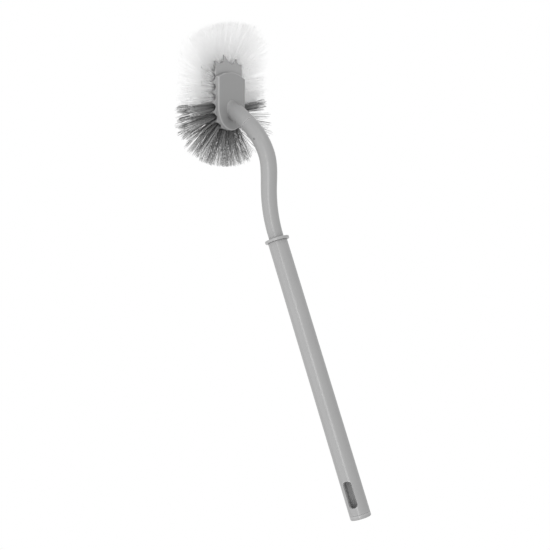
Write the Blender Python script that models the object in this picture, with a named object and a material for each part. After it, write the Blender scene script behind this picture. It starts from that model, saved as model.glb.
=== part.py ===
# Toilet brush with a slotted round handle, an S-curved neck and a plug-in head whose tufts
# stand round the rim of a flat block. Metres, +Z up: the brush hangs by its slot, head down.
# The origin is the middle of the slot, on the tube's axis. The neck bows in the YZ plane.

import math

import bmesh
import bpy
from mathutils import Euler, Matrix, Vector
from mathutils.geometry import interpolate_bezier

# Clearances, and how far a cutter runs past the face that it opens
SEAT_GAP = 0.0003
PLUG_CLEARANCE = 0.0003
CUTTER_PAST = 0.0012

# Grip tube and its hanging slot
GRIP_LENGTH = 0.2239
TUBE_END_RADIUS = 0.0083
TUBE_NECK_RADIUS = 0.0078
TUBE_WALL = 0.0020
SLOT_LENGTH = 0.0217
SLOT_WIDTH = 0.0064
SLOT_TO_END = 0.0189
SLOT_LIP = 0.0005
SLOT_TURN = math.radians(9.0)

# End cap
CAP_THICKNESS = 0.0032
CAP_ROUND = 0.0011
CAP_PLUG_LENGTH = 0.0036

# Neck with its collar, its spigot in the tube and its socket for the head
COLLAR_RADIUS = 0.0098
COLLAR_THICKNESS = 0.0022
NECK_SPIGOT_LENGTH = 0.0240
SPIGOT_LEAD = 0.0018
SPIGOT_TIP_SHARE = 0.85
NECK_ROOT_RADIUS = 0.0060
NECK_ROOT_LENGTH = 0.0030
NECK_RADIUS = 0.0066
NECK_BOW = 0.0139
NECK_BOW_DROP = 0.0660
SWING_SHARE_OUT = 0.475
SWING_SHARE_DOWN = 0.60
SWING_LEAN = math.radians(20.0)
SEAM_RADIUS = 0.0067
SEAM_OFFSET = 0.0060
SEAM_DROP = 0.0944
SEAM_LEAN = math.radians(29.0)
SOCKET_DEPTH = 0.0150
HEAD_SPIGOT_LENGTH = 0.0140
HEAD_SPIGOT_RADIUS = 0.0036

# Head cover and the stub that stands on it
HEAD_TILT = math.radians(20.7)
STUB_OFFSET = -0.0051
STUB_DROP = 0.1103
STUB_LEAN = math.radians(46.0)
STUB_RADIUS = 0.0069
STUB_BELOW_ARC = 0.0020
HEAD_RADIUS = 0.0180
COVER_SIDE_LENGTH = 0.0238
COVER_ARCH = 0.0043
COVER_THICKNESS = 0.0030
COVER_BEVEL = 0.0009
PEG_RADIUS = 0.0022
PEG_LENGTH = 0.0050
PEG_LOW = 0.0020
PEG_HIGH = 0.0190

# Tuft block
BLOCK_SIDE_LENGTH = 0.0335
BLOCK_CORNER = 0.0025
BLOCK_ARCH = 0.0018
BLOCK_THICKNESS = 0.0150
ROW_DEPTHS = (0.0032, 0.0106)
HOLE_RADIUS = 0.0023
HOLE_DEPTH = 0.0040
MOUTH_RADIUS = 0.0030
MOUTH_DEPTH = 0.0018

# Tufts: two rows of stations round the rim, each of a few thick strands. The shares tell how
# far along each half of the rim they stand, from its lowest point to the tip; the last is both
# halves' own.
STATION_SHARES = (0.05, 0.15, 0.25, 0.35, 0.45, 0.55, 0.65, 0.735, 0.836, 0.918, 1.0)
DARK_PAIRS = 4
FAN_BOTTOM = -0.0025
FAN_TOP = 0.0200
TUFT_COLUMNS = 4
TUFT_ROWS = 3
STRAND_TIP_SHARE = 0.62
SIDE_FLARE = math.radians(4.8)
FRONT_FLARE = math.radians(4.2)
TRIM_HALF_WIDTH = 0.0495
TRIM_BOTTOM = 0.0474
TRIM_BOTTOM_CORNER = 0.0350
TRIM_TOP = 0.0656
TRIM_TOP_CORNERS = (0.0150, 0.0310)

# Round surfaces
TUBE_SIDES = 32
NECK_SIDES = 24
ARC_STEPS = 20
HOLE_SIDES = 8

# Colour, metallic and roughness of each material
FINISHES = {
    "handle_plastic": ((0.38, 0.38, 0.38, 1), 0.0, 0.42),
    "head_plastic": ((0.33, 0.33, 0.33, 1), 0.0, 0.45),
    "white_bristle": ((0.86, 0.86, 0.86, 1), 0.0, 0.40),
    "dark_bristle": ((0.07, 0.07, 0.07, 1), 0.0, 0.45),
}


def clear_scene():
    for item in list(bpy.data.objects):
        bpy.data.objects.remove(item, do_unlink=True)


def material(name):
    found = bpy.data.materials.get(name)
    if found:
        return found
    colour, metallic, roughness = FINISHES[name]
    made = bpy.data.materials.new(name)
    made.use_nodes = True
    shader = made.node_tree.nodes["Principled BSDF"]
    shader.inputs["Base Color"].default_value = colour
    shader.inputs["Metallic"].default_value = metallic
    shader.inputs["Roughness"].default_value = roughness
    return made


def new_object(name, bm, finish, smooth=True):
    bmesh.ops.recalc_face_normals(bm, faces=bm.faces)
    mesh = bpy.data.meshes.new(name)
    bm.to_mesh(mesh)
    bm.free()
    if smooth:
        mesh.shade_smooth()
        mesh.set_sharp_from_angle(angle=math.radians(32))
    made = bpy.data.objects.new(name, mesh)
    bpy.context.scene.collection.objects.link(made)
    if finish:
        mesh.materials.append(material(finish))
    return made


def new_cutter(name, bm):
    cutter = new_object(name, bm, None, smooth=False)
    cutter.hide_render = True
    cutter.display_type = "WIRE"
    return cutter


def boolean(target, tool, operation):
    modifier = target.modifiers.new(tool.name, "BOOLEAN")
    modifier.operation = operation
    modifier.object = tool
    modifier.solver = "EXACT"


# A round section is (centre, axis direction, radius). Its first point lies along +X, so
# neighbouring sections of a path in the YZ plane meet without a twist.
def section_points(centre, axis, radius, sides):
    across = Vector((1, 0, 0))
    up = axis.normalized().cross(across)
    points = []
    for step in range(sides):
        turn = 2 * math.pi * step / sides
        points.append(centre + radius * (math.cos(turn) * across + math.sin(turn) * up))
    return points


# Joins closed loops of points, each to the next. A ring is hollow and closes on itself,
# any other run of loops is closed by a face at each end.
def skin_loops(loops, ring=False):
    bm = bmesh.new()
    rows = [[bm.verts.new(point) for point in loop] for loop in loops]
    pairs = list(zip(rows, rows[1:]))
    if ring:
        pairs.append((rows[-1], rows[0]))
    else:
        bm.faces.new(rows[0])
        bm.faces.new(rows[-1])
    for near, far in pairs:
        for index in range(len(near)):
            after = (index + 1) % len(near)
            bm.faces.new((near[index], near[after], far[after], far[index]))
    return bm


def skin_sections(sections, sides, ring=False):
    return skin_loops([section_points(*section, sides) for section in sections], ring)


def upright(radius, height):
    return Vector((0, 0, height)), Vector((0, 0, 1)), radius


def extruded(outline, low, high):
    return skin_loops([[Vector((x, y, height)) for x, y in outline] for height in (low, high)])


# Heights that the handle's pieces share, from the origin at the slot
CAP_TOP = SLOT_TO_END
TUBE_TOP = CAP_TOP - CAP_THICKNESS - SEAT_GAP
COLLAR_TOP = SLOT_TO_END - GRIP_LENGTH
TUBE_BOTTOM = COLLAR_TOP + SEAT_GAP
COLLAR_BOTTOM = COLLAR_TOP - COLLAR_THICKNESS


def tube_radius(height):
    share = (height - COLLAR_TOP) / (CAP_TOP - COLLAR_TOP)
    return TUBE_NECK_RADIUS + share * (TUBE_END_RADIUS - TUBE_NECK_RADIUS)


def bore_radius(height):
    return tube_radius(height) - TUBE_WALL


# Outline of the slot at one distance from the tube's axis, grown by its lip near the mouth
def slot_loop(distance, grow):
    radius = SLOT_WIDTH / 2 + grow
    reach = (SLOT_LENGTH - SLOT_WIDTH) / 2
    points = []
    for end in (1, -1):
        for step in range(ARC_STEPS // 2 + 1):
            turn = math.pi * step / (ARC_STEPS // 2)
            across = end * radius * math.cos(turn)
            along = end * (reach + radius * math.sin(turn))
            points.append(Vector((distance, across, along)))
    return points


def slot_cutter():
    face = tube_radius(0)
    lip_depth = 2 * SLOT_LIP
    past_grow = SLOT_LIP * (lip_depth + CUTTER_PAST) / lip_depth
    loops = [
        slot_loop(-face - CUTTER_PAST, past_grow),
        slot_loop(lip_depth - face, 0),
        slot_loop(face - lip_depth, 0),
        slot_loop(face + CUTTER_PAST, past_grow),
    ]
    cutter = new_cutter("slot_cutter", skin_loops(loops))
    cutter.rotation_euler = (0, 0, -SLOT_TURN)
    return cutter


def grip_tube():
    sections = [
        upright(tube_radius(TUBE_TOP), TUBE_TOP),
        upright(tube_radius(TUBE_BOTTOM), TUBE_BOTTOM),
        upright(bore_radius(TUBE_BOTTOM), TUBE_BOTTOM),
        upright(bore_radius(TUBE_TOP), TUBE_TOP),
    ]
    made = new_object("grip_tube", skin_sections(sections, TUBE_SIDES, True), "handle_plastic")
    boolean(made, slot_cutter(), "DIFFERENCE")
    return made


def end_cap():
    rim = tube_radius(CAP_TOP)
    plug = bore_radius(TUBE_TOP) - PLUG_CLEARANCE
    plug_bottom = TUBE_TOP - CAP_PLUG_LENGTH
    sections = [
        upright(plug, plug_bottom),
        upright(plug, CAP_TOP - CAP_THICKNESS),
        upright(rim, CAP_TOP - CAP_THICKNESS),
    ]
    for step in range(5):
        turn = math.pi / 2 * step / 4
        out = rim - CAP_ROUND * (1 - math.cos(turn))
        sections.append(upright(out, CAP_TOP - CAP_ROUND * (1 - math.sin(turn))))
    return new_object("end_cap", skin_sections(sections, TUBE_SIDES), "handle_plastic")


# Direction in the YZ plane of a rod that runs down and leans by an angle towards -Y
def downward(lean):
    return Vector((0, -math.sin(lean), -math.cos(lean)))


# The rod's middle line runs through knots of (place, lean) from its root to the cover
def rod_knots():
    crest = Vector((0, NECK_BOW, COLLAR_BOTTOM - NECK_BOW_DROP))
    swing_height = COLLAR_BOTTOM - SWING_SHARE_DOWN * NECK_BOW_DROP
    swing = Vector((0, SWING_SHARE_OUT * NECK_BOW, swing_height))
    return [
        (Vector((0, 0, COLLAR_BOTTOM - NECK_ROOT_LENGTH)), 0.0),
        (swing, -SWING_LEAN),
        (crest, 0.0),
        (seam_centre(), SEAM_LEAN),
        (stub_foot(), STUB_LEAN),
    ]


def seam_centre():
    return Vector((0, SEAM_OFFSET, COLLAR_BOTTOM - SEAM_DROP))


def stub_foot():
    return Vector((0, STUB_OFFSET, COLLAR_BOTTOM - STUB_DROP))


def rod_path(first, last, steps):
    knots = rod_knots()[first:last + 1]
    points = []
    for (start, lean_a), (end, lean_b) in zip(knots, knots[1:]):
        reach = (end - start).length / 3
        near = start + reach * downward(lean_a)
        far = end - reach * downward(lean_b)
        points += list(interpolate_bezier(start, near, far, end, steps))[:-1]
    points.append(knots[-1][0])
    return points


def path_sections(points, start_axis, end_axis, radius_at):
    sections = []
    last = len(points) - 1
    for index, point in enumerate(points):
        axis = points[min(index + 1, last)] - points[max(index - 1, 0)]
        if index == 0:
            axis = start_axis
        if index == last:
            axis = end_axis
        sections.append((point, axis, radius_at(index / last)))
    return sections


def neck_radius(share):
    if share < 0.5:
        return NECK_ROOT_RADIUS + (NECK_RADIUS - NECK_ROOT_RADIUS) * share * 2
    return NECK_RADIUS + (SEAM_RADIUS - NECK_RADIUS) * (share - 0.5) * 2


def neck():
    spigot = bore_radius(COLLAR_TOP) - PLUG_CLEARANCE
    spigot_top = COLLAR_TOP + NECK_SPIGOT_LENGTH
    down = Vector((0, 0, -1))
    sections = [(Vector((0, 0, height)), down, radius) for height, radius in (
        (spigot_top, spigot * SPIGOT_TIP_SHARE),
        (spigot_top - SPIGOT_LEAD, spigot),
        (COLLAR_TOP, spigot),
        (COLLAR_TOP, COLLAR_RADIUS),
        (COLLAR_BOTTOM, COLLAR_RADIUS),
        (COLLAR_BOTTOM, NECK_ROOT_RADIUS),
    )]
    rod = rod_path(0, 3, 9)
    seam_axis = downward(SEAM_LEAN)
    sections += path_sections(rod, down, seam_axis, neck_radius)
    socket = HEAD_SPIGOT_RADIUS + PLUG_CLEARANCE
    seam = seam_centre()
    sections.append((seam, seam_axis, socket))
    sections.append((seam - SOCKET_DEPTH * seam_axis, seam_axis, socket))
    return new_object("neck", skin_sections(sections, NECK_SIDES), "handle_plastic")


# The head is modelled flat: local X across, +Y to the tip, +Z out of the cover's back.
# The local origin is the middle of the cover's lower arc, on its back face.
def head_matrix():
    tilt = Euler((HEAD_TILT - math.pi / 2, 0, 0)).to_matrix().to_4x4()
    foot = tilt @ Vector((0, -STUB_BELOW_ARC, 0))
    return Matrix.Translation(stub_foot() - foot) @ tilt


def head_frame():
    joint = bpy.data.objects.new("head_joint", None)
    joint.location = seam_centre()
    frame = bpy.data.objects.new("head_frame", None)
    frame.parent = joint
    frame.matrix_local = Matrix.Translation(-seam_centre()) @ head_matrix()
    for empty in (joint, frame):
        bpy.context.scene.collection.objects.link(empty)
    return frame


def lower_arc():
    turns = [math.pi + math.pi * step / ARC_STEPS for step in range(ARC_STEPS + 1)]
    return [(HEAD_RADIUS * math.cos(turn), HEAD_RADIUS * math.sin(turn)) for turn in turns]


# Points of a shallow arch from +X to -X: rise is its height above the level of its ends
def arch(half_width, level, rise):
    radius = (half_width ** 2 + rise ** 2) / (2 * rise)
    half_turn = math.asin(half_width / radius)
    centre = level + rise - radius
    points = []
    for step in range(ARC_STEPS // 2 + 1):
        turn = half_turn - 2 * half_turn * step / (ARC_STEPS // 2)
        points.append((radius * math.sin(turn), centre + radius * math.cos(turn)))
    return points


def cover_outline():
    return lower_arc() + arch(HEAD_RADIUS, COVER_SIDE_LENGTH, COVER_ARCH)


def corner(side, first, last):
    points = []
    for step in range(4):
        turn = math.radians(first + (last - first) * step / 4)
        across = side * (HEAD_RADIUS - BLOCK_CORNER) + BLOCK_CORNER * math.cos(turn)
        up = BLOCK_SIDE_LENGTH - BLOCK_CORNER + BLOCK_CORNER * math.sin(turn)
        points.append((across, up))
    return points


def block_outline():
    top = arch(HEAD_RADIUS - BLOCK_CORNER, BLOCK_SIDE_LENGTH, BLOCK_ARCH)
    left = [(-x, y) for x, y in reversed(corner(1, 0, 90))]
    return lower_arc() + corner(1, 0, 90) + top + left


def peg(height, radius, top, bottom):
    sections = []
    for level in (top, bottom):
        centre = Vector((0, height, level))
        sections.append((centre, Vector((0, 0, -1)), radius))
    return skin_sections(sections, NECK_SIDES // 2)


# The stub follows the rod from the seam to just above the cover, then turns flat to sink
# its last section into the plate
def stub_sections():
    seam_axis = downward(SEAM_LEAN)
    seam = seam_centre() + SEAT_GAP * seam_axis
    tip = seam_centre() - HEAD_SPIGOT_LENGTH * seam_axis
    sections = [
        (tip, seam_axis, HEAD_SPIGOT_RADIUS * SPIGOT_TIP_SHARE),
        (tip + SPIGOT_LEAD * seam_axis, seam_axis, HEAD_SPIGOT_RADIUS),
        (seam, seam_axis, HEAD_SPIGOT_RADIUS),
    ]
    foot_axis = downward(STUB_LEAN)
    inward = head_matrix().to_3x3() @ Vector((0, 0, -1))
    cosine = foot_axis.dot(inward)
    clear = STUB_RADIUS * math.sin(foot_axis.angle(inward)) - COVER_THICKNESS / 3
    rod = [seam] + rod_path(3, 4, 8)[1:-2] + [stub_foot() - foot_axis * clear / cosine]

    def stub_radius(share):
        return SEAM_RADIUS + (STUB_RADIUS - SEAM_RADIUS) * share

    sections += path_sections(rod, seam_axis, foot_axis, stub_radius)
    sunk = stub_foot() + foot_axis * COVER_THICKNESS / 2 / cosine
    sections.append((sunk, inward, STUB_RADIUS))
    return sections


def head_cover(frame):
    bm = extruded(cover_outline(), -COVER_THICKNESS, 0)
    top_face = max(bm.faces, key=lambda face: face.calc_center_median().z)
    bmesh.ops.bevel(bm, geom=list(top_face.edges), offset=COVER_BEVEL, segments=2,
                    profile=0.5, affect="EDGES")
    made = new_object("head_cover", bm, "head_plastic")
    made.parent = frame
    stub = new_cutter("stub_form", skin_sections(stub_sections(), NECK_SIDES))
    boolean(made, stub, "UNION")
    for name, height in (("low_peg_form", PEG_LOW), ("high_peg_form", PEG_HIGH)):
        top = -COVER_THICKNESS / 2
        bottom = -COVER_THICKNESS - PEG_LENGTH
        form = new_cutter(name, peg(height, PEG_RADIUS, top, bottom))
        form.parent = frame
        boolean(made, form, "UNION")
    return made


# Length along the block's rim of half its outline, from the lowest point to the tip
def half_rim():
    return math.pi / 2 * HEAD_RADIUS + BLOCK_SIDE_LENGTH + HEAD_RADIUS


# A point of the rim on the +X side, at a length walked from the lowest point
def rim_point(walked):
    quarter = math.pi / 2 * HEAD_RADIUS
    if walked < quarter:
        turn = walked / HEAD_RADIUS - math.pi / 2
        return HEAD_RADIUS * math.cos(turn), HEAD_RADIUS * math.sin(turn)
    if walked < quarter + BLOCK_SIDE_LENGTH:
        return HEAD_RADIUS, walked - quarter
    across = half_rim() - walked
    share = across / HEAD_RADIUS
    return across, BLOCK_SIDE_LENGTH + BLOCK_ARCH * (1 - share ** 2)


# A station is (place on the rim, direction of its tuft), both in the head's flat frame.
# Tufts stand square to the middle of the head and fan out past its two ends.
def station(index):
    x, y = rim_point(STATION_SHARES[abs(index) - 1] * half_rim())
    place = Vector((math.copysign(x, index), y, 0))
    middle = Vector((0, min(max(y, FAN_BOTTOM), FAN_TOP), 0))
    return place, (place - middle).normalized()


# Stations are numbered from the lowest point, +X side plus and -X side minus, in rim order
def station_numbers():
    last = len(STATION_SHARES)
    return list(range(1 - last, 0)) + list(range(1, last + 1))


def is_dark(index):
    return abs(index) <= DARK_PAIRS


def row_depth(row):
    return -COVER_THICKNESS - SEAT_GAP - ROW_DEPTHS[row]


def along(place, direction, distance, depth):
    point = place + distance * direction
    return Vector((point.x, point.y, depth))


def hole_loop(place, direction, depth, distance, radius):
    centre = along(place, direction, distance, depth)
    across = Vector((0, 0, 1)).cross(direction)
    points = []
    for step in range(HOLE_SIDES):
        turn = 2 * math.pi * (step + 0.5) / HOLE_SIDES
        points.append(centre + radius * (math.cos(turn) * across
                                         + math.sin(turn) * Vector((0, 0, 1))))
    return points


def tuft_hole(place, direction, depth):
    stops = [
        (-HOLE_DEPTH, HOLE_RADIUS),
        (-MOUTH_DEPTH, HOLE_RADIUS),
        (0, MOUTH_RADIUS),
        (CUTTER_PAST, MOUTH_RADIUS),
    ]
    return skin_loops([hole_loop(place, direction, depth, *stop) for stop in stops])


def merged(parts):
    whole = bmesh.new()
    for part in parts:
        mesh = bpy.data.meshes.new("part")
        part.to_mesh(mesh)
        part.free()
        whole.from_mesh(mesh)
        bpy.data.meshes.remove(mesh)
    return whole


def tuft_block(frame):
    top = -COVER_THICKNESS - SEAT_GAP
    block = new_object("tuft_block", extruded(block_outline(), top - BLOCK_THICKNESS, top),
                       "head_plastic")
    block.parent = frame
    holes = []
    for index in station_numbers():
        place, direction = station(index)
        for row in range(len(ROW_DEPTHS)):
            holes.append(tuft_hole(place, direction, row_depth(row)))
    for height in (PEG_LOW, PEG_HIGH):
        bottom = -COVER_THICKNESS - PEG_LENGTH - PLUG_CLEARANCE
        holes.append(peg(height, PEG_RADIUS + PLUG_CLEARANCE, 0, bottom))
    cutter = new_cutter("hole_cutter", merged(holes))
    cutter.parent = frame
    boolean(block, cutter, "DIFFERENCE")
    return block


# The bristles are cut to one outline: straight sides with round corners above and below
def inside_trim(point, row):
    reach, radius = TRIM_TOP, TRIM_TOP_CORNERS[row]
    if point.y < 0:
        reach, radius = TRIM_BOTTOM, TRIM_BOTTOM_CORNER
    past_x = abs(point.x) - TRIM_HALF_WIDTH + radius
    past_y = abs(point.y) - reach + radius
    if past_x > 0 and past_y > 0:
        return math.hypot(past_x, past_y) < radius
    return max(past_x, past_y) < radius


def strand_length(start, direction, row):
    short = 0.0
    long = 2 * TRIM_TOP
    for _ in range(24):
        middle = (short + long) / 2
        if inside_trim(start + middle * direction, row):
            short = middle
        else:
            long = middle
    return short


# Half the turn from one station's direction to the next on either side
def half_turns(index):
    numbers = station_numbers()
    order = numbers.index(index)
    here = station(index)[1]
    turns = []
    for beside in (order - 1, order + 1):
        other = station(numbers[beside % len(numbers)])[1]
        turns.append(here.angle(other) / 2)
    return turns


# Side of the square root plug that fits in a tuft hole
def plug_side():
    return math.sqrt(2) * (HOLE_RADIUS * math.cos(math.pi / HOLE_SIDES) - PLUG_CLEARANCE)


# A tuft is a root plug and strands that share its face, spread between its neighbours
def tuft(name, index, row, frame):
    place, direction = station(index)
    depth = row_depth(row)
    across = Vector((0, 0, 1)).cross(direction)
    before, after = half_turns(index)
    bm = bmesh.new()
    cells = bmesh.ops.create_grid(bm, x_segments=TUFT_COLUMNS, y_segments=TUFT_ROWS, size=0.5)
    middles = [face.calc_center_median() for face in bm.faces]
    plug_top = -MOUTH_DEPTH / 2
    foot = along(place, direction, plug_top, depth)
    for vert in cells["verts"]:
        vert.co = foot + plug_side() * (vert.co.x * across + vert.co.y * Vector((0, 0, 1)))
    strands = bmesh.ops.extrude_discrete_faces(bm, faces=list(bm.faces))["faces"]
    for face, middle in zip(strands, middles):
        beside = after if middle.x > 0 else before
        side = math.tan(2 * middle.x * (SIDE_FLARE + beside))
        front = math.tan(2 * middle.y * FRONT_FLARE)
        grow_strand(face, direction + side * across + front * Vector((0, 0, 1)), row)
    rim = [edge for edge in bm.edges if edge.is_boundary]
    sunk = bmesh.ops.extrude_edge_only(bm, edges=rim)["geom"]
    plug_length = HOLE_DEPTH + plug_top - SEAT_GAP
    bottom = [item for item in sunk if isinstance(item, bmesh.types.BMVert)]
    bmesh.ops.translate(bm, verts=bottom, vec=-plug_length * direction)
    edges = [edge for edge in bm.edges if edge.is_boundary]
    bmesh.ops.contextual_create(bm, geom=edges)
    finish = "dark_bristle" if is_dark(index) else "white_bristle"
    made = new_object(name, bm, finish, smooth=False)
    made.parent = frame
    return made


def grow_strand(face, way, row):
    way.normalize()
    root = face.calc_center_median()
    tip = root + strand_length(root, way, row) * way
    for vert in face.verts:
        vert.co = tip + STRAND_TIP_SHARE * (vert.co - root)


def tufts(frame):
    made = []
    counts = {"dark": 0, "white": 0}
    for index in station_numbers():
        shade = "dark" if is_dark(index) else "white"
        counts[shade] += 1
        for row, place in enumerate(("back", "front")):
            name = f"{shade}_tuft_{place}_{counts[shade]:02d}"
            made.append(tuft(name, index, row, frame))
    return made


def main():
    clear_scene()
    grip_tube()
    end_cap()
    neck()
    frame = head_frame()
    head_cover(frame)
    tuft_block(frame)
    tufts(frame)


main()
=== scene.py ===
import math
import random

import bmesh
import bpy
from mathutils import Euler, Matrix, Vector
from mathutils.geometry import interpolate_bezier


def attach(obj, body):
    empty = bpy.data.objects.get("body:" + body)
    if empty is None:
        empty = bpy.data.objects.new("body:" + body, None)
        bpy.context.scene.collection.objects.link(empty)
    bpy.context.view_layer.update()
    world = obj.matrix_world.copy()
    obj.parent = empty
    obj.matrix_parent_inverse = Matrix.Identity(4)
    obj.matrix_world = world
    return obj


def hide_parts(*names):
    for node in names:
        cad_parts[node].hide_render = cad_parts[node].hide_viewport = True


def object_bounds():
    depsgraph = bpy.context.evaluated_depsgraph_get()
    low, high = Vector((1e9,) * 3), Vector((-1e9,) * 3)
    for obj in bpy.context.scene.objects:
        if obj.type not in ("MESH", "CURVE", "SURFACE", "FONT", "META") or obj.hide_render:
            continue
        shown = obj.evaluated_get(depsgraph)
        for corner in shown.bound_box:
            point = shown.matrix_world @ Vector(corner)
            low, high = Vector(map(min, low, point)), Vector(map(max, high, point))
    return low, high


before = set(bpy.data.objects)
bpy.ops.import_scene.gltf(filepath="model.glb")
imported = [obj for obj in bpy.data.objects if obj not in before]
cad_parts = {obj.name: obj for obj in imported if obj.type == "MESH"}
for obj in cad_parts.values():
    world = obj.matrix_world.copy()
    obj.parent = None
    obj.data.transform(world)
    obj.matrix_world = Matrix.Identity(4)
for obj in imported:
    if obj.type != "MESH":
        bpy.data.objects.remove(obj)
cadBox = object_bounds()
scene = bpy.context.scene
print("frame loaded:", len(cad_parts), "nodes")


def addObject(name, data):
    item = bpy.data.objects.new(name, data)
    scene.collection.objects.link(item)
    return item


# camera: where the photograph was taken from, handle end down in the picture
cameraPlan = {
    "place": (-0.6784, 0.4376, -0.1005),
    "right": (0.5521, 0.7829, 0.2868),
    "down": (-0.0808, -0.2921, 0.9530),
    "sensor": 36, "focalPixels": 1030, "picturePixels": 550,
}


def setCamera():
    right = Vector(cameraPlan["right"]).normalized()
    up = -Vector(cameraPlan["down"]).normalized()
    turn = Matrix((right, up, right.cross(up))).transposed().to_4x4()
    data = bpy.data.cameras.new("photoCamera")
    data.sensor_width = cameraPlan["sensor"]
    data.lens = cameraPlan["sensor"] * cameraPlan["focalPixels"] / cameraPlan["picturePixels"]
    camera = addObject("photoCamera", data)
    camera.matrix_world = Matrix.Translation(cameraPlan["place"]) @ turn
    scene.camera = camera


setCamera()
print("camera set")


# edges, in degrees: from where they shade sharp, and from where their colour is marked, lighter as
# wear and painted highlight, darker as painted shade
edgePlan = {"sharp": 32, "edgeMarkFrom": 8, "edgeMarkOver": 16}
mergeDistance = 1e-6


def meshFrom(name, bm):
    bmesh.ops.recalc_face_normals(bm, faces=bm.faces)
    mesh = bpy.data.meshes.new(name)
    bm.to_mesh(mesh)
    bm.free()
    return mesh


def finishPiece(name, bm, body, nodes, material, sharp=edgePlan["sharp"]):
    piece = addObject(name, meshFrom(name, bm))
    return dressPiece(piece, body, nodes, material, sharp)


# how sharply the surface turns at each vertex: the plastics paint outer edges, above 0, lighter,
# partly as rub wear and partly as a painted highlight, and inner corners, below 0, darker as painted
# shade, and duller
def markEdges(mesh):
    bm = bmesh.new()
    bm.from_mesh(mesh)
    wearAndPaintedLight = bm.verts.layers.float.get("wearAndPaintedLight") or bm.verts.layers.float.new("wearAndPaintedLight")
    for vert in bm.verts:
        turns = [math.degrees(edge.calc_face_angle_signed(0)) for edge in vert.link_edges]
        turn = max(turns, key=abs, default=0)
        share = (abs(turn) - edgePlan["edgeMarkFrom"]) / edgePlan["edgeMarkOver"]
        vert[wearAndPaintedLight] = math.copysign(min(max(share, 0), 1), turn)
    bm.to_mesh(mesh)
    bm.free()


def dressPiece(piece, body, nodes, material, sharp=edgePlan["sharp"]):
    if sharp:
        markEdges(piece.data)
    piece.data.shade_smooth()
    if sharp:
        piece.data.set_sharp_from_angle(angle=math.radians(sharp))
    piece.data.materials.clear()
    piece.data.materials.append(material)
    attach(piece, body)
    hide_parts(*nodes)
    return piece


# a closed or open profile of (radius, height) spun about the Z axis
def turnProfile(bm, profile, sides, closed=False):
    verts = [bm.verts.new((radius, 0, height)) for radius, height in profile]
    edges = [bm.edges.new(pair) for pair in zip(verts, verts[1:])]
    if closed:
        edges.append(bm.edges.new((verts[-1], verts[0])))
    bmesh.ops.spin(bm, geom=verts + edges, cent=(0, 0, 0), axis=(0, 0, 1),
                   angle=2 * math.pi, steps=sides, use_merge=True, use_duplicate=False)
    bmesh.ops.remove_doubles(bm, verts=bm.verts, dist=mergeDistance)


# a corner of a profile, rounded over a quarter turn from start, in degrees
def roundCorner(radius, height, size, start, steps=4):
    points = []
    for step in range(steps + 1):
        turn = math.radians(start + 90 * step / steps)
        points.append((radius + size * math.cos(turn), height + size * math.sin(turn)))
    return points


def ringAt(bm, centre, axis, radius, sides):
    side = Vector((1, 0, 0))
    axis = axis.normalized()
    place = Matrix((side, axis.cross(side), axis)).transposed().to_4x4()
    place.translation = centre
    made = bmesh.ops.create_circle(bm, segments=sides, radius=radius, matrix=place)
    return list({edge for vert in made["verts"] for edge in vert.link_edges})


# a tube skinned through rings of (centre, axis, radius), closed at both ends
def skinRings(bm, stops, sides):
    rings = [ringAt(bm, *stop, sides) for stop in stops]
    for near, far in zip(rings, rings[1:]):
        bmesh.ops.bridge_loops(bm, edges=near + far)
    for ring in (rings[0], rings[-1]):
        bmesh.ops.contextual_create(bm, geom=ring)


def roundEdges(bm, edges, size, segments):
    bmesh.ops.bevel(bm, geom=edges, offset=size, affect="EDGES", segments=segments, profile=0.5,
                    material=-1)


def carve(piece, cutterMesh, name):
    cutter = addObject(name, cutterMesh)
    modifier = piece.modifiers.new(name, "BOOLEAN")
    modifier.operation = "DIFFERENCE"
    modifier.solver = "EXACT"
    modifier.object = cutter
    graph = bpy.context.evaluated_depsgraph_get()
    carved = bpy.data.meshes.new_from_object(piece.evaluated_get(graph))
    piece.modifiers.clear()
    plain = piece.data
    piece.data = carved
    bpy.data.meshes.remove(plain)
    bpy.data.objects.remove(cutter)


# small helpers for shader trees
def newMaterial(name):
    material = bpy.data.materials.new(name)
    material.use_nodes = True
    return material, material.node_tree, material.node_tree.nodes["Principled BSDF"]


def objectPlace(tree):
    return tree.nodes.new("ShaderNodeTexCoord").outputs["Object"]


def mixShaders(tree, first, second):
    mix = tree.nodes.new("ShaderNodeMixShader")
    tree.links.new(first.outputs[0], mix.inputs[1])
    tree.links.new(second.outputs[0], mix.inputs[2])
    tree.links.new(mix.outputs[0], tree.nodes["Material Output"].inputs["Surface"])
    return mix


def newGroup(name, inputs, outputs):
    group = bpy.data.node_groups.new(name, "ShaderNodeTree")
    for title, kind, value in inputs:
        socket = group.interface.new_socket(title, in_out="INPUT", socket_type=kind)
        if value is not None:
            socket.default_value = value
    for title, kind in outputs:
        group.interface.new_socket(title, in_out="OUTPUT", socket_type=kind)
    start = group.nodes.new("NodeGroupInput")
    end = group.nodes.new("NodeGroupOutput")
    return group, start, end


def mathNode(tree, operation, first, second=None, clamp=False):
    node = tree.nodes.new("ShaderNodeMath")
    node.operation = operation
    node.use_clamp = clamp
    for socket, value in zip(node.inputs, (first, second)):
        if value is None:
            continue
        if isinstance(value, (int, float)):
            socket.default_value = value
        else:
            tree.links.new(value, socket)
    return node.outputs[0]


def noiseNode(tree, vector, scale, detail, rough=0.5):
    node = tree.nodes.new("ShaderNodeTexNoise")
    node.inputs["Detail"].default_value = detail
    node.inputs["Roughness"].default_value = rough
    if isinstance(scale, (int, float)):
        node.inputs["Scale"].default_value = scale
    else:
        tree.links.new(scale, node.inputs["Scale"])
    tree.links.new(vector, node.inputs["Vector"])
    return node.outputs["Fac"]


def stretchNode(tree, vector, scale):
    node = tree.nodes.new("ShaderNodeMapping")
    node.inputs["Scale"].default_value = scale
    tree.links.new(vector, node.inputs["Vector"])
    return node.outputs["Vector"]


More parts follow.
